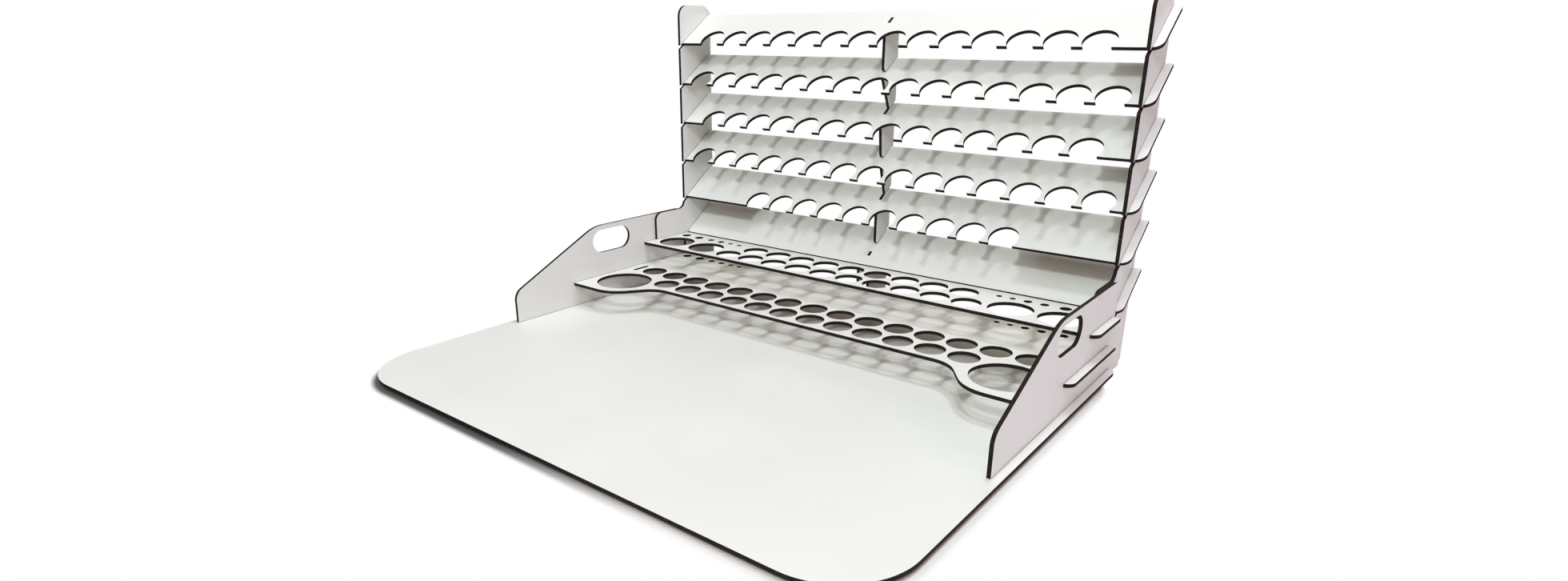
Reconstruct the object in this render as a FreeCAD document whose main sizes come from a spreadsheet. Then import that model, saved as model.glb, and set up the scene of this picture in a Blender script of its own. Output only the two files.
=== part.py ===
"""Hobby workstation organizer, slotted together from 3 mm laminated sheet.

A base board carries two side panels with two pierced shelves between them.
Two tall uprights behind them hold a rack of five tilted, notched shelves
over a plain tilted panel, with a spine and a support on the middle line.
X is the width, Y runs from the front edge to the back, Z is up from the floor.
"""

import FreeCAD, Part
import math
import os

import Sketcher
from FreeCAD import Placement, Rotation, Vector

os.makedirs("parts", exist_ok=True)
doc = FreeCAD.newDocument("HobbyOrganizer")

# Driving sizes, in millimetres and degrees.
# "web" is the sheet left between two openings, or between an opening and an
# edge. "setback" and "depth" run back from the front, "rise" and "step" run up.
driving = {
    "board_width": 500.0,
    "organizer_height": 300.0,
    "sheet_thick": 3.0,
    "slot_play": 0.1,
    "pad_height": 3.0,
    "pad_radius": 8.0,
    "pad_inset": 45.0,
    "board_margin": 6.5,
    "board_front_radius": 55.0,
    "board_rear_radius": 8.0,
    "apron_depth": 159.2,
    "tab_radius": 8.0,
    "hole_radius": 13.0,
    "hole_web": 3.7,
    "row_web": 4.5,
    "row_step": 27.3,
    "row_margin": 12.0,
    "panel_height": 29.0,
    "panel_nose_rise": 29.6,
    "panel_nose_radius": 12.0,
    "panel_slope_run": 101.8,
    "panel_slope_radius": 50.0,
    "panel_back_radius": 10.0,
    "panel_tail": 32.5,
    "panel_tab_setback": 33.8,
    "panel_tab_length": 63.0,
    "heel_length": 29.7,
    "handle_setback": 22.0,
    "handle_web": 4.8,
    "handle_length": 51.0,
    "handle_width": 24.0,
    "tool_side_web": 6.5,
    "tool_rear_web": 8.5,
    "wide_tool_web": 9.2,
    "wide_tool_radius": 5.0,
    "middle_tool_web": 7.1,
    "middle_tool_radius": 3.75,
    "narrow_tool_web": 6.8,
    "narrow_tool_radius": 2.75,
    "lower_rise": 24.4,
    "lower_setback": 70.3,
    "lower_step": 38.2,
    "lower_step_run": 27.8,
    "lower_step_inset": 17.7,
    "lower_outer_radius": 33.0,
    "lower_inner_radius": 27.0,
    "lower_tab_length": 103.0,
    "lower_tab_gap": 9.0,
    "jar_radius": 27.9,
    "jar_side_web": 3.7,
    "jar_front_web": 9.4,
    "blade_length": 20.6,
    "blade_width": 4.4,
    "blade_side_web": 6.3,
    "mid_step": 24.0,
    "mid_tab_gap": 7.0,
    "cup_radius": 19.2,
    "cup_web": 4.7,
    "column_web": 5.2,
    "column_rear_web": 2.0,
    "column_head": 9.4,
    "column_radius": 12.0,
    "foot_length": 46.0,
    "foot_radius": 8.0,
    "foot_fillet": 9.0,
    "rack_margin": 7.0,
    "rack_tilt": 35.0,
    "rack_setback": 3.4,
    "rack_depth": 50.5,
    "rack_lap": 38.0,
    "rack_lift": 1.0,
    "notch_radius": 13.5,
    "notch_inset": 8.0,
    "notch_web": 3.8,
    "notch_margin": 4.0,
    "panel_lap": 24.0,
    "spine_setback": 24.0,
    "spine_radius": 3.5,
    "spine_lean": 4.0,
    "spine_tab_length": 8.5,
    "spine_tab_web": 8.5,
    "support_setback": 14.0,
    "support_nose_length": 8.0,
    "support_nose_depth": 14.4,
    "support_tab_start": 12.0,
    "support_tab_length": 6.0,
}

# Notches in each tilted shelf of the rack, from the top shelf down. Shelves
# with an even count have plain sheet on the middle line.
rack_notches = [
    "Layout.most_notches - 1",
    "Layout.most_notches",
    "Layout.most_notches - 1",
    "Layout.most_notches",
    "Layout.most_notches - 5",
]

sizes = doc.addObject("Spreadsheet::Sheet", "Sizes")
for row, (alias, value) in enumerate(driving.items(), start=1):
    sizes.set(f"A{row}", alias)
    sizes.set(f"B{row}", str(value))
    sizes.setAlias(f"B{row}", alias)
doc.recompute()

# Positions that follow from the driving sizes. Widths are from the middle
# line, rows and fronts are behind the front edge of the board, and rises are
# above its top face. The longest rows hold as many holes as the width takes,
# an odd number, so that the rows in front of them stand half a step across.
derived = {
    "board_top": "Sizes.pad_height + Sizes.sheet_thick",
    "hole_spacing": "2 * Sizes.hole_radius + Sizes.hole_web",
    "notch_spacing": "2 * Sizes.notch_radius + Sizes.notch_web",
    "board_half": "Sizes.board_width / 2",
    "panel_outer": "board_half - Sizes.board_margin",
    "panel_inner": "panel_outer - Sizes.sheet_thick",
    "inner_half": "panel_inner - Sizes.sheet_thick",
    "rack_half": "panel_inner + Sizes.rack_margin",
    "lower_back_holes": "2 * floor((inner_half - Sizes.row_margin) / hole_spacing - 0.5) + 1",
    "lower_front_holes": "lower_back_holes - 3",
    "mid_front_holes": "lower_back_holes - 5",
    "mid_back_holes": "lower_back_holes - 6",
    "most_notches": "2 * floor((inner_half - Sizes.notch_margin) / notch_spacing - 0.5) + 1",
    "panel_tab_front": "Sizes.apron_depth + Sizes.panel_tab_setback",
    "panel_tab_rear": "panel_tab_front + Sizes.panel_tab_length",
    "panel_slope_rear": "Sizes.apron_depth + Sizes.panel_slope_run",
    "handle_row": "panel_slope_rear + Sizes.handle_setback",
    "lower_front": "Sizes.apron_depth + Sizes.lower_setback",
    "step_front": "lower_front + Sizes.lower_step",
    "lower_front_row": "step_front + Sizes.row_web + Sizes.hole_radius",
    "lower_back_row": "lower_front_row + Sizes.row_step",
    "mid_front": "lower_back_row + Sizes.hole_radius + Sizes.row_web",
    "mid_front_row": "mid_front + Sizes.row_web + Sizes.hole_radius",
    "mid_back_row": "mid_front_row + Sizes.row_step",
    "column_front": "mid_back_row + Sizes.hole_radius + Sizes.column_web",
    "board_depth": "column_front + Sizes.sheet_thick",
    "lower_tab_rear": "column_front - Sizes.lower_tab_gap",
    "lower_tab_front": "lower_tab_rear - Sizes.lower_tab_length",
    "mid_tab_rear": "column_front - Sizes.mid_tab_gap",
    "heel_front": "column_front - Sizes.heel_length",
    "panel_rear": "column_front + Sizes.panel_tail",
    "foot_front": "column_front - Sizes.foot_length",
    "lower_under": "Sizes.lower_rise - Sizes.sheet_thick",
    "mid_rise": "Sizes.lower_rise + Sizes.mid_step",
    "mid_under": "mid_rise - Sizes.sheet_thick",
    "panel_rise": "mid_rise + Sizes.panel_height",
    "handle_rise": "panel_rise - Sizes.handle_web - Sizes.handle_width / 2",
    "jar_offset": "inner_half - Sizes.jar_side_web - Sizes.jar_radius",
    "jar_row": "lower_front + Sizes.jar_front_web + Sizes.jar_radius",
    "step_outer": "jar_offset - Sizes.lower_step_inset",
    "step_inner": "step_outer - Sizes.lower_step_run",
    "blade_offset": "inner_half - Sizes.blade_side_web - Sizes.blade_width / 2",
    "cup_row": "mid_front + Sizes.cup_web + Sizes.cup_radius",
    "cup_outer": "inner_half - Sizes.cup_web - Sizes.cup_radius",
    "cup_inner": "cup_outer - Sizes.cup_web - 2 * Sizes.cup_radius",
    "tool_row": "board_depth - Sizes.tool_rear_web - Sizes.wide_tool_radius",
    "wide_outer": "inner_half - Sizes.tool_side_web - Sizes.wide_tool_radius",
    "wide_inner": "wide_outer - Sizes.wide_tool_web - 2 * Sizes.wide_tool_radius",
    "middle_outer": "wide_inner - Sizes.wide_tool_radius - Sizes.wide_tool_web"
                    " - Sizes.middle_tool_radius",
    "middle_inner": "middle_outer - Sizes.middle_tool_web - 2 * Sizes.middle_tool_radius",
    "narrow_outer": "middle_inner - Sizes.middle_tool_radius - Sizes.middle_tool_web"
                    " - Sizes.narrow_tool_radius",
    "narrow_inner": "narrow_outer - Sizes.narrow_tool_web - 2 * Sizes.narrow_tool_radius",
    "tilt_cos": "cos(Sizes.rack_tilt * 1 deg)",
    "tilt_sin": "sin(Sizes.rack_tilt * 1 deg)",
    "tilt_tan": "tan(Sizes.rack_tilt * 1 deg)",
    "rack_front": "column_front + Sizes.rack_setback",
    "rack_base": "mid_rise + Sizes.rack_lift",
    "column_rise": "Sizes.organizer_height - board_top",
    "rack_top": "column_rise - Sizes.column_head - Sizes.rack_depth * tilt_sin",
    "rack_step": f"(rack_top - rack_base) / {len(rack_notches)}",
    "sheet_slant": "Sizes.sheet_thick / tilt_cos",
    "play_slant": "Sizes.slot_play / tilt_cos",
    "column_rear": "rack_front + Sizes.rack_depth * tilt_cos"
                   " + Sizes.sheet_thick * tilt_sin + Sizes.column_rear_web",
    "spine_front": "column_front + Sizes.spine_setback",
    "spine_tab_rear": "Sizes.rack_depth - Sizes.spine_tab_web",
    "spine_tab_front": "spine_tab_rear - Sizes.spine_tab_length",
    "support_front": "column_front + Sizes.support_setback",
    "support_nose_front": "board_depth - Sizes.support_nose_length",
}
layout = doc.addObject("Spreadsheet::Sheet", "Layout")
for row, (alias, formula) in enumerate(derived.items(), start=1):
    layout.set(f"A{row}", alias)
    layout.set(f"B{row}", "=" + formula)
    layout.setAlias(f"B{row}", alias)
doc.recompute()


def number(expression):
    """Value of an expression on the two sheets."""
    result = sizes.evalExpression(expression)
    return float(getattr(result, "Value", result))


def new_body(node, east, rise, north="0", tilt=None):
    """Empty body placed from the front edge of the board and from its top face."""
    body = doc.addObject("PartDesign::Body", node)
    body.Label = node
    if tilt:
        body.Placement = Placement(Vector(), Rotation(Vector(1, 0, 0), number(tilt)))
        body.setExpression(".Placement.Rotation.Angle", tilt + " * 1 deg")
    body.setExpression(".Placement.Base.x", east)
    body.setExpression(".Placement.Base.y", north + " - Layout.column_rear / 2")
    body.setExpression(".Placement.Base.z", "Layout.board_top + " + rise)
    return body


def new_sketch(body, role, name):
    """Sketch on one of the body's own origin planes."""
    sketch = body.newObject("Sketcher::SketchObject", name)
    plane = [item for item in body.Origin.OriginFeatures if item.Role == role][0]
    sketch.AttachmentSupport = (plane, [""])
    sketch.MapMode = "FlatFace"
    return sketch


def locate(sketch, item, point, across, along):
    """Hold one point of a sketch at two expressions from the sketch's origin."""
    for kind, expression in (("DistanceX", across), ("DistanceY", along)):
        rule = Sketcher.Constraint(kind, -1, 1, item, point, number(expression))
        index = sketch.addConstraint(rule)
        sketch.setExpression(f"Constraints[{index}]", expression)


def draw_outline(sketch, corners):
    """Closed outline of straight edges through the corners."""
    first = sketch.GeometryCount
    spots = [Vector(number(across), number(along), 0) for across, along in corners]
    for index, spot in enumerate(spots):
        sketch.addGeometry(Part.LineSegment(spot, spots[(index + 1) % len(spots)]))
    for index in range(len(spots)):
        following = first + (index + 1) % len(spots)
        sketch.addConstraint(Sketcher.Constraint("Coincident", first + index, 2, following, 1))
    for index, (across, along) in enumerate(corners):
        locate(sketch, first + index, 1, across, along)


def draw_rectangle(sketch, left, right, near, far):
    """Rectangle between four edges given as expressions."""
    draw_outline(sketch, [(left, near), (right, near), (right, far), (left, far)])


def draw_circle(sketch, across, along, radius):
    """Circle about a centre given as expressions."""
    centre = Vector(number(across), number(along), 0)
    item = sketch.addGeometry(Part.Circle(centre, Vector(0, 0, 1), number(radius)))
    locate(sketch, item, 3, across, along)
    index = sketch.addConstraint(Sketcher.Constraint("Radius", item, number(radius)))
    sketch.setExpression(f"Constraints[{index}]", radius)


def pad(body, sketch, name, reversed_pad=False):
    """Give a sketch the thickness of the sheet."""
    feature = body.newObject("PartDesign::Pad", name)
    feature.Profile = sketch
    feature.Reversed = reversed_pad
    feature.setExpression("Length", "Sizes.sheet_thick")
    doc.recompute()
    return feature


def pocket(body, sketch, name):
    """Cut a sketch through the sheet, on both sides of its plane."""
    before = body.Shape.Volume
    feature = body.newObject("PartDesign::Pocket", name)
    feature.Profile = sketch
    feature.Type = 1
    feature.Midplane = True
    doc.recompute()
    if not body.Shape.Volume < before:
        raise ValueError(f"{name} removes nothing")
    return feature


def repeat(body, feature, sketch, axis, name, step, count):
    """Row of equal cuts along one axis of their sketch."""
    pattern = body.newObject("PartDesign::LinearPattern", name)
    pattern.Originals = [feature]
    pattern.Direction = (sketch, [axis])
    pattern.setExpression("Length", f"({step}) * ({count} - 1)")
    pattern.setExpression("Occurrences", count)
    body.Tip = pattern
    doc.recompute()
    return pattern


def mirror(body, feature, name):
    """Same cuts on the other side of the middle line."""
    plane = [item for item in body.Origin.OriginFeatures if item.Role == "YZ_Plane"][0]
    copy = body.newObject("PartDesign::Mirrored", name)
    copy.Originals = [feature]
    copy.MirrorPlane = (plane, [""])
    body.Tip = copy
    doc.recompute()
    return copy


def round_corners(body, name, radius, corners, across, along):
    """Round the edges that stand on the given corners of the outline."""
    base = body.Tip
    spots = [(number(first), number(second)) for first, second in corners]
    edges = []
    for index, edge in enumerate(base.Shape.Edges, start=1):
        ends = [(getattr(vertex, across), getattr(vertex, along)) for vertex in edge.Vertexes]
        if len(ends) < 2:
            continue
        for spot in spots:
            if all(abs(end[0] - spot[0]) + abs(end[1] - spot[1]) < 1e-4 for end in ends):
                edges.append(f"Edge{index}")
    if len(edges) != len(spots):
        raise ValueError(f"{name} finds {len(edges)} of {len(spots)} corners")
    feature = body.newObject("PartDesign::Fillet", name)
    feature.Base = (base, edges)
    feature.setExpression("Radius", radius)
    doc.recompute()
    return feature


def draw_stadium(sketch, across, along, length, width):
    """Long hole with round ends about a centre given as expressions."""
    radius = number(width) / 2
    reach = (number(length) - number(width)) / 2
    centre = Vector(number(across), number(along), 0)
    up = Vector(0, 0, 1)
    rear = centre + Vector(reach, 0, 0)
    front = centre - Vector(reach, 0, 0)
    lift = Vector(0, radius, 0)
    quarter = math.pi / 2
    bottom = sketch.addGeometry(Part.LineSegment(front - lift, rear - lift))
    rear_end = sketch.addGeometry(Part.ArcOfCircle(Part.Circle(rear, up, radius), -quarter, quarter))
    top = sketch.addGeometry(Part.LineSegment(rear + lift, front + lift))
    front_end = sketch.addGeometry(
        Part.ArcOfCircle(Part.Circle(front, up, radius), quarter, 3 * quarter))
    sketch.addConstraint(Sketcher.Constraint("Tangent", bottom, 2, rear_end, 1))
    sketch.addConstraint(Sketcher.Constraint("Tangent", rear_end, 2, top, 1))
    sketch.addConstraint(Sketcher.Constraint("Tangent", top, 2, front_end, 1))
    sketch.addConstraint(Sketcher.Constraint("Tangent", front_end, 2, bottom, 1))
    index = sketch.addConstraint(Sketcher.Constraint("Radius", rear_end, radius))
    sketch.setExpression(f"Constraints[{index}]", f"({width}) / 2")
    locate(sketch, rear_end, 3, f"{across} + ({length} - {width}) / 2", along)
    locate(sketch, front_end, 3, f"{across} - ({length} - {width}) / 2", along)


def on_tilt(along, over, base):
    """Point of a tilted shelf in the side view, from its front top edge."""
    row = f"Layout.rack_front + ({along}) * Layout.tilt_cos - ({over}) * Layout.tilt_sin"
    rise = f"{base} + ({along}) * Layout.tilt_sin + ({over}) * Layout.tilt_cos"
    return row, rise


def tilt_rise(row, base):
    """Height of a tilted shelf's top face at a distance from the board's front edge."""
    return f"{base} + ({row} - Layout.rack_front) * Layout.tilt_tan"


# Base board: rounded front corners, a closed slot for the front tab of each
# side panel, an open one for its heel and a notch for each upright.
board = new_body("base_board", "0", "-Sizes.sheet_thick")
sketch = new_sketch(board, "XY_Plane", "BoardOutline")
draw_rectangle(sketch, "-Layout.board_half", "Layout.board_half", "0", "Layout.board_depth")
pad(board, sketch, "BoardPad")
half = "Layout.board_half"
round_corners(board, "BoardFrontCorners", "Sizes.board_front_radius",
              [(half, "0"), ("-" + half, "0")], "X", "Y")
round_corners(board, "BoardRearCorners", "Sizes.board_rear_radius",
              [(half, "Layout.board_depth"), ("-" + half, "Layout.board_depth")], "X", "Y")
play = "Sizes.slot_play / 2"
sketch = new_sketch(board, "XY_Plane", "BoardSlots")
draw_rectangle(sketch, f"Layout.panel_inner - {play}", f"Layout.panel_outer + {play}",
               f"Layout.panel_tab_front - {play}", f"Layout.panel_tab_rear + {play}")
past_rear = "Layout.board_depth + Sizes.sheet_thick"
draw_outline(sketch, [
    (f"Layout.panel_inner - {play}", f"Layout.heel_front - {play}"),
    (f"Layout.panel_outer + {play}", f"Layout.heel_front - {play}"),
    (f"Layout.panel_outer + {play}", past_rear),
    (f"Layout.inner_half - {play}", past_rear),
    (f"Layout.inner_half - {play}", f"Layout.column_front - {play}"),
    (f"Layout.panel_inner - {play}", f"Layout.column_front - {play}"),
])
slots = pocket(board, sketch, "BoardSlotCuts")
mirror(board, slots, "BoardSlotMirror")

# Rubber pads that lift the board off the table.
pad_spots = {
    "pad_front_left": ("-1", "Sizes.pad_inset"),
    "pad_front_right": ("1", "Sizes.pad_inset"),
    "pad_rear_left": ("-1", "Layout.board_depth - Sizes.pad_inset"),
    "pad_rear_right": ("1", "Layout.board_depth - Sizes.pad_inset"),
}
for node, (side, row) in pad_spots.items():
    rubber = doc.addObject("Part::Cylinder", node)
    rubber.Label = node
    rubber.setExpression("Radius", "Sizes.pad_radius")
    rubber.setExpression("Height", "Sizes.pad_height")
    rubber.setExpression(".Placement.Base.x", f"{side} * ({half} - Sizes.pad_inset)")
    rubber.setExpression(".Placement.Base.y", f"{row} - Layout.column_rear / 2")

# Side panels: a low nose, a slope up to the level top edge, a handle hole,
# mortises for the two pierced shelves and a rear edge cut under the plain
# tilted panel of the rack. The heel goes through the board to the floor.
panel_profile = [
    ("Sizes.apron_depth", "0"),
    ("Layout.panel_tab_front", "0"),
    ("Layout.panel_tab_front", "-Sizes.sheet_thick"),
    ("Layout.panel_tab_rear", "-Sizes.sheet_thick"),
    ("Layout.panel_tab_rear", "0"),
    ("Layout.heel_front", "0"),
    ("Layout.heel_front", "-Layout.board_top"),
    ("Layout.panel_rear", "-Layout.board_top"),
    ("Layout.panel_rear",
     tilt_rise("Layout.panel_rear", "Layout.rack_base - Layout.sheet_slant - Layout.play_slant")),
    ("Layout.column_front",
     tilt_rise("Layout.column_front", "Layout.rack_base - Layout.sheet_slant - Layout.play_slant")),
    ("Layout.column_front", "Layout.panel_rise"),
    ("Layout.panel_slope_rear", "Layout.panel_rise"),
    ("Sizes.apron_depth", "Sizes.panel_nose_rise"),
]
for node, east in (("left_side_panel", "-Layout.panel_outer"),
                   ("right_side_panel", "Layout.panel_inner")):
    panel = new_body(node, east, "0")
    sketch = new_sketch(panel, "YZ_Plane", node + "_outline")
    draw_outline(sketch, panel_profile)
    pad(panel, sketch, node + "_pad")
    round_corners(panel, node + "_nose", "Sizes.panel_nose_radius", panel_profile[12:13], "Y", "Z")
    round_corners(panel, node + "_slope", "Sizes.panel_slope_radius", panel_profile[11:12], "Y", "Z")
    round_corners(panel, node + "_back", "Sizes.panel_back_radius", panel_profile[10:11], "Y", "Z")
    sketch = new_sketch(panel, "YZ_Plane", node + "_openings")
    draw_stadium(sketch, "Layout.handle_row", "Layout.handle_rise",
                 "Sizes.handle_length", "Sizes.handle_width")
    draw_rectangle(sketch, f"Layout.lower_tab_front - {play}", f"Layout.lower_tab_rear + {play}",
                   f"Layout.lower_under - {play}", f"Sizes.lower_rise + {play}")
    draw_rectangle(sketch, f"Layout.mid_front - {play}", f"Layout.mid_tab_rear + {play}",
                   f"Layout.mid_under - {play}", f"Layout.mid_rise + {play}")
    pocket(panel, sketch, node + "_cuts")

# Uprights: a column with rounded top corners, a foot standing on the middle
# shelf, five tilted slots open at the front and one open at the back.
upright_profile = [
    ("Layout.column_front", "-Layout.board_top"),
    ("Layout.column_rear", "-Layout.board_top"),
    ("Layout.column_rear", "Layout.column_rise"),
    ("Layout.column_front", "Layout.column_rise"),
    ("Layout.column_front", "Layout.panel_rise"),
    ("Layout.foot_front", "Layout.panel_rise"),
    ("Layout.foot_front", "Layout.mid_rise"),
    ("Layout.column_front", "Layout.mid_rise"),
]
before_front = "-(Sizes.rack_setback + Sizes.sheet_thick) / Layout.tilt_cos"
behind_rear = "Sizes.rack_depth + Sizes.sheet_thick"
lowest_row = "Layout.rack_base + Layout.rack_step"
for node, east in (("left_upright", "-Layout.panel_inner"),
                   ("right_upright", "Layout.inner_half")):
    upright = new_body(node, east, "0")
    sketch = new_sketch(upright, "YZ_Plane", node + "_outline")
    draw_outline(sketch, upright_profile)
    pad(upright, sketch, node + "_pad")
    round_corners(upright, node + "_top", "Sizes.column_radius", upright_profile[2:4], "Y", "Z")
    round_corners(upright, node + "_fillet", "Sizes.foot_fillet", upright_profile[4:5], "Y", "Z")
    round_corners(upright, node + "_foot", "Sizes.foot_radius", upright_profile[5:6], "Y", "Z")
    sketch = new_sketch(upright, "YZ_Plane", node + "_panel_slot")
    draw_outline(sketch, [
        on_tilt(f"Sizes.panel_lap - {play}", f"-Sizes.sheet_thick - {play}", "Layout.rack_base"),
        on_tilt(behind_rear, f"-Sizes.sheet_thick - {play}", "Layout.rack_base"),
        on_tilt(behind_rear, play, "Layout.rack_base"),
        on_tilt(f"Sizes.panel_lap - {play}", play, "Layout.rack_base"),
    ])
    pocket(upright, sketch, node + "_panel_cut")
    sketch = new_sketch(upright, "YZ_Plane", node + "_shelf_slot")
    draw_outline(sketch, [
        on_tilt(before_front, f"-Sizes.sheet_thick - {play}", lowest_row),
        on_tilt(f"Sizes.rack_lap + {play}", f"-Sizes.sheet_thick - {play}", lowest_row),
        on_tilt(f"Sizes.rack_lap + {play}", play, lowest_row),
        on_tilt(before_front, play, lowest_row),
    ])
    slot = pocket(upright, sketch, node + "_shelf_cut")
    repeat(upright, slot, sketch, "V_Axis", node + "_shelf_cuts", "Layout.rack_step", str(len(rack_notches)))

# Lower shelf: tabs through the side panels, a front edge that steps back
# between the two jar holes, two rows of bottle holes and holes for tools.
between = f"Layout.panel_inner - {play}"
inside = f"Layout.inner_half - {play}"
lower_half = [
    ("Layout.step_inner", "Layout.step_front"),
    ("Layout.step_outer", "Layout.lower_front"),
    (between, "Layout.lower_front"),
    (between, "Layout.lower_tab_front"),
    (half, "Layout.lower_tab_front"),
    (half, "Layout.lower_tab_rear"),
    (inside, "Layout.lower_tab_rear"),
    (inside, "Layout.board_depth"),
]
mid_half = [
    (half, "Layout.mid_front"),
    (half, "Layout.mid_tab_rear"),
    (inside, "Layout.mid_tab_rear"),
    (inside, "Layout.board_depth"),
]
tool_holes = [
    ("Layout.wide_outer", "Sizes.wide_tool_radius"),
    ("Layout.wide_inner", "Sizes.wide_tool_radius"),
    ("Layout.middle_outer", "Sizes.middle_tool_radius"),
    ("Layout.middle_inner", "Sizes.middle_tool_radius"),
    ("Layout.narrow_outer", "Sizes.narrow_tool_radius"),
    ("Layout.narrow_inner", "Sizes.narrow_tool_radius"),
]


def both_sides(corners):
    """Corners on the right followed by the same ones on the left."""
    return corners + [(f"-({across})", along) for across, along in reversed(corners)]


def hole_row(body, name, row, count):
    """Row of bottle holes centred on the middle line."""
    row_sketch = new_sketch(body, "XY_Plane", name)
    draw_circle(row_sketch, f"-({count} - 1) / 2 * Layout.hole_spacing", row, "Sizes.hole_radius")
    first_hole = pocket(body, row_sketch, name + "_first")
    repeat(body, first_hole, row_sketch, "H_Axis", name + "_holes", "Layout.hole_spacing", count)


lower = new_body("lower_shelf", "0", "Layout.lower_under")
sketch = new_sketch(lower, "XY_Plane", "LowerOutline")
draw_outline(sketch, both_sides(lower_half))
pad(lower, sketch, "LowerPad")
round_corners(lower, "LowerInnerCurves", "Sizes.lower_inner_radius",
              both_sides(lower_half[0:1]), "X", "Y")
round_corners(lower, "LowerOuterCurves", "Sizes.lower_outer_radius",
              both_sides(lower_half[1:2]), "X", "Y")
round_corners(lower, "LowerTabCorners", "Sizes.tab_radius", both_sides(lower_half[4:5]), "X", "Y")
hole_row(lower, "LowerFrontRow", "Layout.lower_front_row", "Layout.lower_front_holes")
hole_row(lower, "LowerBackRow", "Layout.lower_back_row", "Layout.lower_back_holes")
sketch = new_sketch(lower, "XY_Plane", "LowerToolHoles")
draw_circle(sketch, "Layout.jar_offset", "Layout.jar_row", "Sizes.jar_radius")
draw_rectangle(sketch, "Layout.blade_offset - Sizes.blade_width / 2",
               "Layout.blade_offset + Sizes.blade_width / 2",
               "Layout.lower_back_row - Sizes.blade_length / 2",
               "Layout.lower_back_row + Sizes.blade_length / 2")
for offset, radius in tool_holes:
    draw_circle(sketch, offset, "Layout.tool_row", radius)
cuts = pocket(lower, sketch, "LowerToolCuts")
mirror(lower, cuts, "LowerToolMirror")

# Middle shelf: tabs through the side panels, two rows of bottle holes, four
# cup holes and the same tool holes as the shelf below.
middle = new_body("middle_shelf", "0", "Layout.mid_under")
sketch = new_sketch(middle, "XY_Plane", "MiddleOutline")
draw_outline(sketch, both_sides(mid_half))
pad(middle, sketch, "MiddlePad")
round_corners(middle, "MiddleTabCorners", "Sizes.tab_radius", both_sides(mid_half[0:1]), "X", "Y")
hole_row(middle, "MiddleFrontRow", "Layout.mid_front_row", "Layout.mid_front_holes")
hole_row(middle, "MiddleBackRow", "Layout.mid_back_row", "Layout.mid_back_holes")
sketch = new_sketch(middle, "XY_Plane", "MiddleToolHoles")
draw_circle(sketch, "Layout.cup_outer", "Layout.cup_row", "Sizes.cup_radius")
draw_circle(sketch, "Layout.cup_inner", "Layout.cup_row", "Sizes.cup_radius")
for offset, radius in tool_holes:
    draw_circle(sketch, offset, "Layout.tool_row", radius)
cuts = pocket(middle, sketch, "MiddleToolCuts")
mirror(middle, cuts, "MiddleToolMirror")

# Tilted shelves of the rack: a row of bottle notches wider than their mouths,
# slots at the rear that cross the uprights and, on the middle line, a mortise
# for a tab of the spine or, in every second shelf, a slot that crosses it.
rack_half = "Layout.rack_half"
rack_fronts = [("-" + rack_half, "0"), (rack_half, "0")]
column_inside = f"Layout.inner_half - {play}"
column_outside = f"Layout.panel_inner + {play}"
spine_side = f"(Sizes.sheet_thick / 2 + {play})"
for order, notches in enumerate(rack_notches, start=1):
    node = f"rack_shelf_{order}"
    rise = f"Layout.rack_top - {order - 1} * Layout.rack_step"
    shelf = new_body(node, "0", rise, "Layout.rack_front", "Sizes.rack_tilt")
    sketch = new_sketch(shelf, "XY_Plane", node + "_outline")
    draw_rectangle(sketch, "-" + rack_half, rack_half, "0", "Sizes.rack_depth")
    pad(shelf, sketch, node + "_pad", True)
    round_corners(shelf, node + "_corners", "Sizes.tab_radius", rack_fronts, "X", "Y")
    sketch = new_sketch(shelf, "XY_Plane", node + "_slots")
    draw_rectangle(sketch, column_inside, column_outside,
                   f"Sizes.rack_lap - {play}", behind_rear)
    if order % 2:
        draw_rectangle(sketch, "-" + spine_side, spine_side,
                       f"Layout.spine_tab_front - {play}", f"Layout.spine_tab_rear + {play}")
    else:
        draw_rectangle(sketch, "-" + spine_side, spine_side,
                       f"Sizes.rack_lap - {play}", behind_rear)
    draw_rectangle(sketch, f"-({column_outside})", f"-({column_inside})",
                   f"Sizes.rack_lap - {play}", behind_rear)
    pocket(shelf, sketch, node + "_slot_cuts")
    sketch = new_sketch(shelf, "XY_Plane", node + "_notch")
    draw_circle(sketch, f"-({notches} - 1) / 2 * Layout.notch_spacing", "Sizes.notch_inset",
                "Sizes.notch_radius")
    notch = pocket(shelf, sketch, node + "_notch_cut")
    repeat(shelf, notch, sketch, "H_Axis", node + "_notches", "Layout.notch_spacing", notches)

# Plain panel under the rack: slots at the front cross the uprights from
# behind, and a mortise in the middle takes the tab of the support.
back = new_body("rack_back_panel", "0", "Layout.rack_base", "Layout.rack_front", "Sizes.rack_tilt")
sketch = new_sketch(back, "XY_Plane", "BackOutline")
draw_rectangle(sketch, "-" + rack_half, rack_half, "0", "Sizes.rack_depth")
pad(back, sketch, "BackPad", True)
round_corners(back, "BackCorners", "Sizes.tab_radius", rack_fronts, "X", "Y")
sketch = new_sketch(back, "XY_Plane", "BackSlots")
draw_rectangle(sketch, column_inside, column_outside,
               "-Sizes.sheet_thick", f"Sizes.panel_lap + {play}")
draw_rectangle(sketch, f"-({column_outside})", f"-({column_inside})",
               "-Sizes.sheet_thick", f"Sizes.panel_lap + {play}")
tab_start = f"Sizes.support_tab_start - {play}"
tab_end = f"Sizes.support_tab_start + Sizes.support_tab_length + {play}"
draw_rectangle(sketch, "-" + spine_side, spine_side, tab_start, tab_end)
pocket(back, sketch, "BackSlotCuts")

# Spine on the middle line, in three pieces. The upper two hang by a tab in one
# shelf, cross the next one with a square finger above it and a sloped finger
# below it, and stand on the shelf after that, just behind the tab of the next
# piece. The last one fills the lowest bay down to the plain panel.
slot_foot = "Layout.play_slant / 2"


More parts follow.
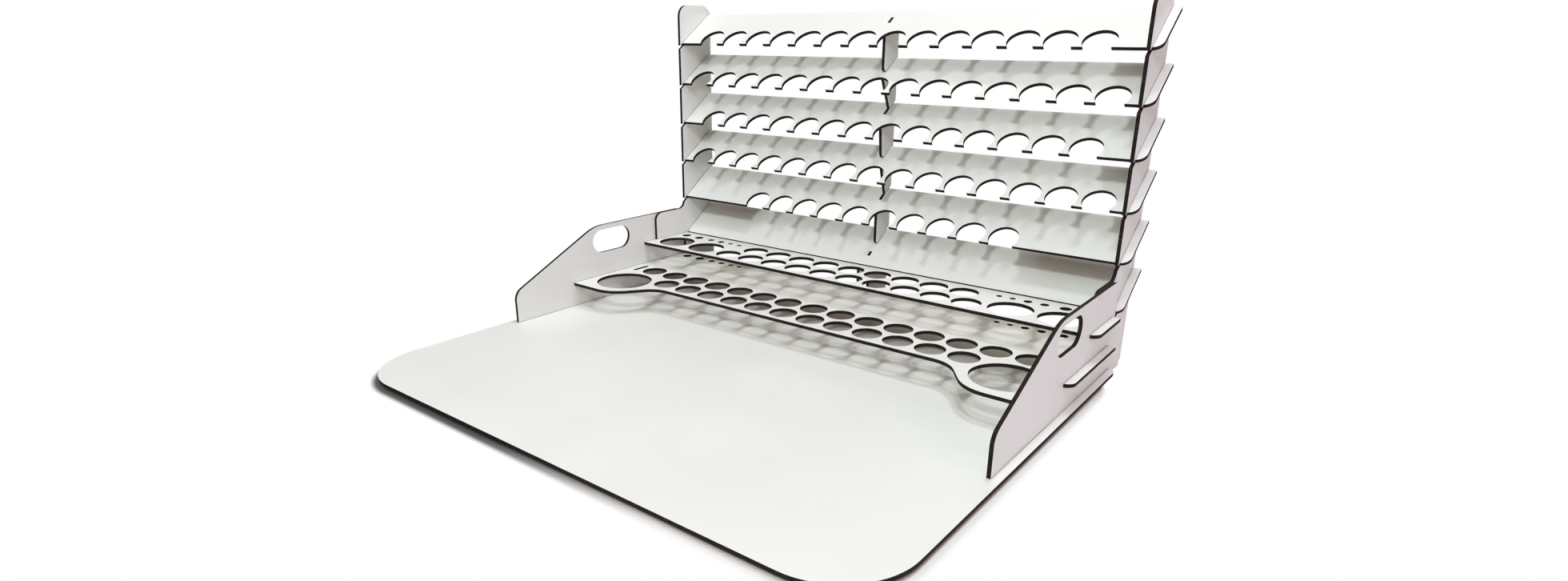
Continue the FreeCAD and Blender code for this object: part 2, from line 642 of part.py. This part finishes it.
def row_base(row):
    """Height of a tilted shelf's front top edge, counted up from the plain panel."""
    return f"Layout.rack_base + {row} * Layout.rack_step"


def spine_head(row):
    """Top edge of a spine piece from the rear, under one shelf, with the tab through it."""
    under_shelf = f"{row_base(row)} - Layout.sheet_slant"
    return [
        ("Layout.column_rear", tilt_rise("Layout.column_rear", under_shelf)),
        on_tilt("Layout.spine_tab_rear", "-Sizes.sheet_thick", row_base(row)),
        on_tilt("Layout.spine_tab_rear", "0", row_base(row)),
        on_tilt("Layout.spine_tab_front", "0", row_base(row)),
        on_tilt("Layout.spine_tab_front", "-Sizes.sheet_thick", row_base(row)),
        ("Layout.spine_front", tilt_rise("Layout.spine_front", under_shelf)),
    ]


for node, row, lean in (("centre_spine", 5, "0"), ("centre_spine_middle", 3, "Sizes.spine_lean")):
    crossed = row_base(row - 1)
    standing = row_base(row - 2)
    finger_front = f"Layout.spine_front + {lean}"
    finger_foot = (finger_front, tilt_rise(finger_front, f"{crossed} + {slot_foot}"))
    under_crossed = f"{crossed} - Layout.sheet_slant - {slot_foot}"
    spine = new_body(node, "-Sizes.sheet_thick / 2", "0")
    sketch = new_sketch(spine, "YZ_Plane", node + "_outline")
    draw_outline(sketch, spine_head(row) + [
        finger_foot,
        (finger_front, tilt_rise(finger_front, under_crossed)),
        on_tilt("Layout.spine_tab_rear + Sizes.slot_play", "0", standing),
        ("Layout.column_rear", tilt_rise("Layout.column_rear", standing)),
    ])
    pad(spine, sketch, node + "_pad")
    sketch = new_sketch(spine, "YZ_Plane", node + "_slot")
    draw_outline(sketch, [
        on_tilt(before_front, f"-Sizes.sheet_thick - {play}", crossed),
        on_tilt(f"Sizes.rack_lap + {play}", f"-Sizes.sheet_thick - {play}", crossed),
        on_tilt(f"Sizes.rack_lap + {play}", play, crossed),
        on_tilt(before_front, play, crossed),
    ])
    pocket(spine, sketch, node + "_slot_cut")
    round_corners(spine, node + "_finger", "Sizes.spine_radius", [finger_foot], "Y", "Z")
lower_foot = ("Layout.spine_front", tilt_rise("Layout.spine_front", "Layout.rack_base"))
lower_spine = new_body("centre_spine_lower", "-Sizes.sheet_thick / 2", "0")
sketch = new_sketch(lower_spine, "YZ_Plane", "LowerSpineOutline")
draw_outline(sketch, spine_head(1) + [
    lower_foot,
    ("Layout.column_rear", tilt_rise("Layout.column_rear", "Layout.rack_base")),
])
pad(lower_spine, sketch, "LowerSpinePad")
round_corners(lower_spine, "LowerSpineFinger", "Sizes.spine_radius", [lower_foot], "Y", "Z")

# Support on the middle line: it stands on the floor behind the board, holds
# the rear edge of the middle shelf and is tenoned into the plain panel.
shelf_back = "Layout.board_depth + Sizes.slot_play"
under_panel = "Layout.rack_base - Layout.sheet_slant"
nose_under = "Layout.mid_under - Sizes.support_nose_depth"
support = new_body("centre_support", "-Sizes.sheet_thick / 2", "0")
sketch = new_sketch(support, "YZ_Plane", "SupportOutline")
draw_outline(sketch, [
    ("Layout.support_front", "-Layout.board_top"),
    ("Layout.column_rear", "-Layout.board_top"),
    ("Layout.column_rear", tilt_rise("Layout.column_rear", under_panel)),
    on_tilt("Sizes.support_tab_start + Sizes.support_tab_length", "-Sizes.sheet_thick",
            "Layout.rack_base"),
    on_tilt("Sizes.support_tab_start + Sizes.support_tab_length", "0", "Layout.rack_base"),
    on_tilt("Sizes.support_tab_start", "0", "Layout.rack_base"),
    on_tilt("Sizes.support_tab_start", "-Sizes.sheet_thick", "Layout.rack_base"),
    (shelf_back, tilt_rise(shelf_back, under_panel)),
    (shelf_back, "Layout.mid_under"),
    ("Layout.support_nose_front", "Layout.mid_under"),
    ("Layout.support_nose_front", nose_under),
    ("Layout.support_front", nose_under),
])
pad(support, sketch, "SupportPad")

# Every object is checked before anything is written.
doc.recompute()
for item in doc.Objects:
    if "Invalid" in item.State or "Error" in item.State:
        raise ValueError(f"{item.Label} failed: {item.State}")
nodes = [item for item in doc.Objects if item.TypeId in ("PartDesign::Body", "Part::Cylinder")]
for item in nodes:
    if item.Shape.isNull() or not item.Shape.isValid() or len(item.Shape.Solids) != 1:
        raise ValueError(f"{item.Label} is not one valid solid")
    item.Shape.exportStep(f"parts/{item.Label}.step")
    box = item.Shape.BoundBox
    print(f"{item.Label}: {box.XLength:.1f} x {box.YLength:.1f} x {box.ZLength:.1f}")
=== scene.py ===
import bpy
import math
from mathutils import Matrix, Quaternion, Vector


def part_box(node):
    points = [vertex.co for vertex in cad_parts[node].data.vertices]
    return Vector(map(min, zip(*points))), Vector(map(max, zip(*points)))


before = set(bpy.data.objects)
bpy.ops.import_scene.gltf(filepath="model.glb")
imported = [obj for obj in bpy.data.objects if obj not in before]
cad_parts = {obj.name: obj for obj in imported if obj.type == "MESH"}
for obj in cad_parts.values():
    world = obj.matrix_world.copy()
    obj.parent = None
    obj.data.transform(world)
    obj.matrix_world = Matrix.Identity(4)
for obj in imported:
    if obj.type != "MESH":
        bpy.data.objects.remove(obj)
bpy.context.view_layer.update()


# Base board: one large sheet of 3 mm fibreboard, white satin laminate on top and
# bare brown board underneath. It is cut by laser, so every cut edge is charred.
LAMINATE = (0.80, 0.834, 0.807)
BARE_BOARD = (0.36, 0.23, 0.13)
CHAR = (0.007, 0.0055, 0.005)
CHAR_LIGHT = (0.028, 0.018, 0.014)
LAMINATE_ROUGHNESS, CHAR_ROUGHNESS = 0.36, 0.9
CLOUD_SCALE, SPECK_SCALE, BURN_SCALE = 9.0, 420.0, 700.0
BURN_STRETCH = 0.93
GRAIN_HEIGHT = 0.0003
# Reach of the painted shade in the joints, where one sheet comes close to another.
JOINT_SHADE_REACH = 0.0012
FACE_LIMIT = 0.7


def laminated(name, across, seed, back=LAMINATE):
    """Laminate where the surface faces along `across`, `back` where it faces the other
    way, char on the cut edges between them, and painted shade in the joints: the faces
    turn dark where another sheet comes close, standing for both shade and laser soot."""
    material = bpy.data.materials.new(name)
    material.use_nodes = True
    nodes, links = material.node_tree.nodes, material.node_tree.links
    nodes.clear()

    def node(kind, **settings):
        made = nodes.new("ShaderNode" + kind)
        for key, value in settings.items():
            setattr(made, key, value)
        return made

    def noise(source, scale, detail):
        made = node("TexNoise")
        made.inputs["Scale"].default_value = scale
        made.inputs["Detail"].default_value = detail
        links.new(source, made.inputs["Vector"])
        return made.outputs["Fac"]

    def tones(source, start, dark, end, light):
        made = node("ValToRGB")
        made.color_ramp.elements[0].position = start
        made.color_ramp.elements[0].color = (*dark, 1)
        made.color_ramp.elements[1].position = end
        made.color_ramp.elements[1].color = (*light, 1)
        links.new(source, made.inputs["Fac"])
        return made.outputs["Color"]

    def blend(choice, first, second):
        made = node("Mix", data_type="RGBA")
        links.new(choice, made.inputs[0])
        links.new(first, made.inputs[6])
        links.new(second, made.inputs[7])
        return made.outputs[2]

    def faces(source, limit):
        made = node("Math", operation="GREATER_THAN")
        links.new(source, made.inputs[0])
        made.inputs[1].default_value = limit
        return made.outputs[0]

    place = node("TexCoord")
    facing = node("VectorMath", operation="DOT_PRODUCT")
    links.new(place.outputs["Normal"], facing.inputs[0])
    facing.inputs[1].default_value = across
    turned = node("Math", operation="ABSOLUTE")
    links.new(facing.outputs["Value"], turned.inputs[0])
    is_front = faces(facing.outputs["Value"], 0.0)
    is_face = faces(turned.outputs[0], FACE_LIMIT)

    shifted = node("Mapping")
    shifted.inputs["Location"].default_value = (seed * 1.7, seed * 0.9, seed * 2.3)
    links.new(place.outputs["Object"], shifted.inputs["Vector"])
    cloud = noise(shifted.outputs[0], CLOUD_SCALE, 3.0)
    speck = noise(shifted.outputs[0], SPECK_SCALE, 2.0)
    along = node("VectorMath", operation="MULTIPLY")
    links.new(shifted.outputs[0], along.inputs[0])
    along.inputs[1].default_value = tuple(1.0 - BURN_STRETCH * abs(part) for part in across)
    burn = noise(along.outputs[0], BURN_SCALE, 3.0)

    front_tone = tones(cloud, 0.35, [0.96 * part for part in LAMINATE], 0.62, LAMINATE)
    if back == LAMINATE:
        back_tone = front_tone
    else:
        back_tone = tones(speck, 0.30, [0.72 * part for part in back], 0.70,
                          [1.15 * part for part in back])
    # Painted shade: ambient occlusion turns the face to the dark char tone where another sheet
    # is close, as in the joints and slots.
    crevice = node("AmbientOcclusion", samples=4)
    crevice.inputs["Distance"].default_value = JOINT_SHADE_REACH
    open_air = node("MapRange")
    open_air.inputs["From Min"].default_value = 0.35
    open_air.inputs["From Max"].default_value = 0.80
    links.new(crevice.outputs["AO"], open_air.inputs["Value"])
    joint_shade_tone = node("RGB")
    joint_shade_tone.outputs[0].default_value = (*CHAR_LIGHT, 1)
    face_tone = blend(open_air.outputs[0], joint_shade_tone.outputs[0],
                      blend(is_front, back_tone, front_tone))
    soot = tones(burn, 0.42, CHAR, 0.75, CHAR_LIGHT)

    rough = node("MapRange")
    rough.inputs["To Min"].default_value = CHAR_ROUGHNESS
    rough.inputs["To Max"].default_value = LAMINATE_ROUGHNESS
    links.new(is_face, rough.inputs["Value"])

    height = node("Mix", data_type="FLOAT")
    links.new(is_face, height.inputs[0])
    links.new(burn, height.inputs[2])
    links.new(speck, height.inputs[3])
    bump = node("Bump")
    bump.inputs["Strength"].default_value = 0.12
    bump.inputs["Distance"].default_value = GRAIN_HEIGHT
    links.new(height.outputs[0], bump.inputs["Height"])

    shader = node("BsdfPrincipled")
    shader.inputs["Specular IOR Level"].default_value = 0.25
    links.new(blend(is_face, soot, face_tone), shader.inputs["Base Color"])
    links.new(rough.outputs[0], shader.inputs["Roughness"])
    links.new(bump.outputs["Normal"], shader.inputs["Normal"])
    output = node("OutputMaterial")
    links.new(shader.outputs[0], output.inputs["Surface"])
    return material


def finish_with(piece, material):
    """Put one material in every slot of a CAD node."""
    for place in piece.material_slots:
        place.material = material


finish_with(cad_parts["base_board"],
            laminated("board_sheet", (0, 0, 1), 0.1, BARE_BOARD))


# Pads: four round rubber feet glued under the corners of the board.
pad_rubber = bpy.data.materials.new("pad_rubber_matte")
pad_rubber.use_nodes = True
pad_nodes, pad_links = pad_rubber.node_tree.nodes, pad_rubber.node_tree.links
pad_grain = pad_nodes.new("ShaderNodeTexNoise")
pad_grain.inputs["Scale"].default_value = 900.0
pad_place = pad_nodes.new("ShaderNodeTexCoord")
pad_links.new(pad_place.outputs["Object"], pad_grain.inputs["Vector"])
pad_tone = pad_nodes.new("ShaderNodeValToRGB")
pad_tone.color_ramp.elements[0].color = (0.018, 0.018, 0.018, 1)
pad_tone.color_ramp.elements[1].color = (0.05, 0.05, 0.05, 1)
pad_links.new(pad_grain.outputs["Fac"], pad_tone.inputs["Fac"])
pad_shader = pad_nodes["Principled BSDF"]
pad_links.new(pad_tone.outputs["Color"], pad_shader.inputs["Base Color"])
pad_shader.inputs["Roughness"].default_value = 0.8
for corner in ("front_left", "front_right", "rear_left", "rear_right"):
    finish_with(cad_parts["pad_" + corner], pad_rubber)


# Side panels and uprights: upright sheets that stand in slots of the board. Both
# of their faces show, so they are laminated on both.
for order, node_name in enumerate(("left_side_panel", "right_side_panel", "left_upright",
                                   "right_upright")):
    finish_with(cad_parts[node_name],
                laminated(node_name + "_sheet", (1, 0, 0), 1.3 + 0.4 * order))


# Lower and middle shelves: level sheets cut through for bottles, cups and tools,
# laminated on top and bare underneath as the board is.
for order, node_name in enumerate(("lower_shelf", "middle_shelf")):
    finish_with(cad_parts[node_name],
                laminated(node_name + "_sheet", (0, 0, 1), 3.1 + 0.7 * order, BARE_BOARD))


# Rack: five notched shelves and one plain panel, all tilted up to the rear, with
# the laminate on the side that faces the user.
TILT = math.radians(35.0)
across_rack = (0.0, -math.sin(TILT), math.cos(TILT))
for order in range(1, 6):
    finish_with(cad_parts[f"rack_shelf_{order}"],
                laminated(f"rack_shelf_{order}_sheet", across_rack, 5.0 + 0.6 * order,
                          BARE_BOARD))
finish_with(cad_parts["rack_back_panel"],
            laminated("rack_back_panel_sheet", across_rack, 9.2, BARE_BOARD))


# Spine and support: four small sheets on the middle line. Three tie the tilted
# shelves together and the last stands on the floor under the plain panel.
for order, node_name in enumerate(("centre_spine", "centre_spine_middle", "centre_spine_lower",
                                   "centre_support")):
    finish_with(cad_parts[node_name],
                laminated(node_name + "_sheet", (1, 0, 0), 10.4 + 0.5 * order))


# Floor: a table top with a painted shadow: its colour is dark to the left of the board's
# middle and pale to the right of it, which paints the dark band under the board's
# front-left edge. The camera sees it as pure white from 8 mm outside the board, so only
# the strip beside the board shows this painted shadow and the object's real shadow.
FLOOR_SIDE = 8.0
FLOOR_PALE = (0.80, 0.80, 0.80, 1)
FLOOR_PAINTED_SHADOW = (0.12, 0.12, 0.12, 1)
PAINTED_SHADOW_X, PALE_X = -0.08, 0.14
WHITE_FROM, WHITE_TO = 0.002, 0.008
CORNER_REACH = 0.055
board_low, board_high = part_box("base_board")
board_middle = [(low + high) / 2 for low, high in zip(board_low, board_high)]
board_reach = [(high - low) / 2 for low, high in zip(board_low, board_high)]

floor_mesh = bpy.data.meshes.new("floor")
floor_mesh.from_pydata([(x * FLOOR_SIDE, y * FLOOR_SIDE, 0)
                        for x, y in ((-1, -1), (1, -1), (1, 1), (-1, 1))], [], [(0, 1, 2, 3)])
floor = bpy.data.objects.new("floor", floor_mesh)
bpy.context.scene.collection.objects.link(floor)
floor_paint = bpy.data.materials.new("floor_white_with_painted_shadow")
floor_paint.use_nodes = True
floor_nodes, floor_links = floor_paint.node_tree.nodes, floor_paint.node_tree.links


def floor_vector(operation, source, value=(0, 0, 0)):
    """One step of vector arithmetic in the floor's material."""
    made = floor_nodes.new("ShaderNodeVectorMath")
    made.operation = operation
    made.inputs[1].default_value = value
    floor_links.new(source, made.inputs[0])
    return made


def floor_ramp(source, start, end):
    """Smooth rise from 0 to 1 between two values."""
    made = floor_nodes.new("ShaderNodeMapRange")
    made.interpolation_type = "SMOOTHSTEP"
    made.inputs["From Min"].default_value = start
    made.inputs["From Max"].default_value = end
    floor_links.new(source, made.inputs["Value"])
    return made.outputs[0]


floor_place = floor_nodes.new("ShaderNodeTexCoord")
from_middle = floor_vector("SUBTRACT", floor_place.outputs["Object"],
                           (board_middle[0], board_middle[1], 0))
folded = floor_vector("ABSOLUTE", from_middle.outputs[0])
past_core = floor_vector("SUBTRACT", folded.outputs[0],
                         (board_reach[0] - CORNER_REACH, board_reach[1] - CORNER_REACH, 0))
outside = floor_vector("MAXIMUM", past_core.outputs[0])
from_board = floor_vector("LENGTH", outside.outputs[0]).outputs["Value"]

# Painted shadow: the floor's colour is dark left of the board's middle and fades to pale on
# the right, so the strip along the front-left edge shows a dark band.
floor_painted_shadow_tone = floor_nodes.new("ShaderNodeMix")
floor_painted_shadow_tone.data_type = "RGBA"
floor_painted_shadow_tone.inputs[6].default_value = FLOOR_PAINTED_SHADOW
floor_painted_shadow_tone.inputs[7].default_value = FLOOR_PALE
from_left = floor_nodes.new("ShaderNodeSeparateXYZ")
floor_links.new(from_middle.outputs[0], from_left.inputs[0])
floor_links.new(floor_ramp(from_left.outputs["X"], PAINTED_SHADOW_X, PALE_X), floor_painted_shadow_tone.inputs[0])
floor_shader = floor_nodes["Principled BSDF"]
floor_shader.inputs["Roughness"].default_value = 0.7
floor_shader.inputs["Specular IOR Level"].default_value = 0.1
floor_links.new(floor_painted_shadow_tone.outputs[2], floor_shader.inputs["Base Color"])
floor_glow = floor_nodes.new("ShaderNodeEmission")
floor_path = floor_nodes.new("ShaderNodeLightPath")
floor_seen = floor_nodes.new("ShaderNodeMath")
floor_seen.operation = "MULTIPLY"
floor_links.new(floor_ramp(from_board, CORNER_REACH + WHITE_FROM, CORNER_REACH + WHITE_TO),
                floor_seen.inputs[0])
floor_links.new(floor_path.outputs["Is Camera Ray"], floor_seen.inputs[1])
floor_mix = floor_nodes.new("ShaderNodeMixShader")
floor_links.new(floor_seen.outputs[0], floor_mix.inputs[0])
floor_links.new(floor_shader.outputs[0], floor_mix.inputs[1])
floor_links.new(floor_glow.outputs[0], floor_mix.inputs[2])
floor_links.new(floor_mix.outputs[0], floor_nodes["Material Output"].inputs["Surface"])
floor_mesh.materials.append(floor_paint)


# Light: four soft boxes, two of them warm and one cool, and three small lamps for
# the streaks on the shelves. A low rosy lamp and a warm glow of the room come from
# the right, and glossy rays see more of that glow. The camera sees white.
world = bpy.data.worlds.new("studio")
bpy.context.scene.world = world
world.use_nodes = True
sky_nodes, sky_links = world.node_tree.nodes, world.node_tree.links
GLOW, GLOSS_GLOW = 0.21, 0.45
AMBER = (1.0, 0.84, 0.74, 1)
sky_place = sky_nodes.new("ShaderNodeTexCoord")
sky_side = sky_nodes.new("ShaderNodeSeparateXYZ")
sky_links.new(sky_place.outputs["Generated"], sky_side.inputs[0])
sky_glow = sky_nodes.new("ShaderNodeMapRange")
sky_glow.inputs["From Max"].default_value = 0.5
sky_glow.inputs["To Max"].default_value = GLOW
sky_links.new(sky_side.outputs["X"], sky_glow.inputs["Value"])
sky_path = sky_nodes.new("ShaderNodeLightPath")
sky_gloss = sky_nodes.new("ShaderNodeMath")
sky_gloss.operation = "MULTIPLY_ADD"
sky_gloss.inputs[1].default_value = GLOSS_GLOW
sky_links.new(sky_path.outputs["Is Glossy Ray"], sky_gloss.inputs[0])
sky_links.new(sky_glow.outputs[0], sky_gloss.inputs[2])
sky_level = sky_nodes.new("ShaderNodeMix")
sky_level.inputs[3].default_value = 1.0
sky_links.new(sky_path.outputs["Is Camera Ray"], sky_level.inputs[0])
sky_links.new(sky_gloss.outputs[0], sky_level.inputs[2])
sky_colour = sky_nodes.new("ShaderNodeMix")
sky_colour.data_type = "RGBA"
sky_colour.inputs[6].default_value = AMBER
sky_colour.inputs[7].default_value = (1, 1, 1, 1)
sky_links.new(sky_path.outputs["Is Camera Ray"], sky_colour.inputs[0])
sky_links.new(sky_colour.outputs[2], sky_nodes["Background"].inputs["Color"])
sky_links.new(sky_level.outputs[0], sky_nodes["Background"].inputs["Strength"])

DOME = 2.0
LAMP_TARGET = Vector((0, 0, 0.1))
WARM = (1.0, 0.95, 0.86)
COOL = (0.82, 0.95, 1.0)
ROSY = (1.0, 0.60, 0.84)


def lamp(name, azimuth, elevation, size, power, colour=(1, 1, 1)):
    """Square lamp on a dome over the board; azimuth 0 is the front, 90 the right."""
    turn, rise = math.radians(azimuth), math.radians(elevation)
    away = Vector((math.sin(turn) * math.cos(rise), -math.cos(turn) * math.cos(rise),
                   math.sin(rise)))
    data = bpy.data.lights.new(name, "AREA")
    data.size, data.energy, data.color = size, power, colour
    made = bpy.data.objects.new(name, data)
    made.location = LAMP_TARGET + DOME * away
    made.rotation_euler = (-away).to_track_quat("-Z", "Y").to_euler()
    bpy.context.scene.collection.objects.link(made)


lamp("left_softbox", -45, 55, 1.4, 6.5, WARM)
lamp("right_softbox", 45, 55, 1.4, 6.0, COOL)
lamp("front_softbox", 0, 32, 1.4, 10.0)
lamp("rear_softbox", 180, 25, 1.4, 6.0, WARM)
lamp("key_lamp", 25, 42, 0.2, 12.0)
lamp("overhead_lamp", 30, 78, 0.25, 7.5)
lamp("rack_lamp", 150, 78, 0.25, 9.5)
lamp("right_lamp", 90, 22, 0.6, 6.2, ROSY)


# Camera: in front of the board, to its right and at the height of the rack. The
# focal length and the middle of the lens are in pixels of the image.
IMAGE_WIDTH, IMAGE_HEIGHT = 1960, 726
FOCAL_LENGTH = 1038.1
LENS_MIDDLE = (952.1, 407.6)
EYE = (0.4167, -0.51315, 0.2687)
YAW, PITCH, ROLL = math.radians(38.33), math.radians(-19.23), math.radians(0.12)
camera_data = bpy.data.cameras.new("camera")
camera_data.sensor_width = 36.0
camera_data.lens = FOCAL_LENGTH / IMAGE_WIDTH * camera_data.sensor_width
camera_data.shift_x = (IMAGE_WIDTH / 2 - LENS_MIDDLE[0]) / IMAGE_WIDTH
camera_data.shift_y = (LENS_MIDDLE[1] - IMAGE_HEIGHT / 2) / IMAGE_WIDTH
camera = bpy.data.objects.new("camera", camera_data)
bpy.context.scene.collection.objects.link(camera)
camera.location = EYE
ahead = Vector((-math.sin(YAW) * math.cos(PITCH), math.cos(YAW) * math.cos(PITCH),
                math.sin(PITCH)))
camera.rotation_mode = "QUATERNION"
camera.rotation_quaternion = ahead.to_track_quat("-Z", "Y") @ Quaternion((0, 0, 1), ROLL)
bpy.context.scene.camera = camera

bpy.context.scene.view_settings.view_transform = "Standard"
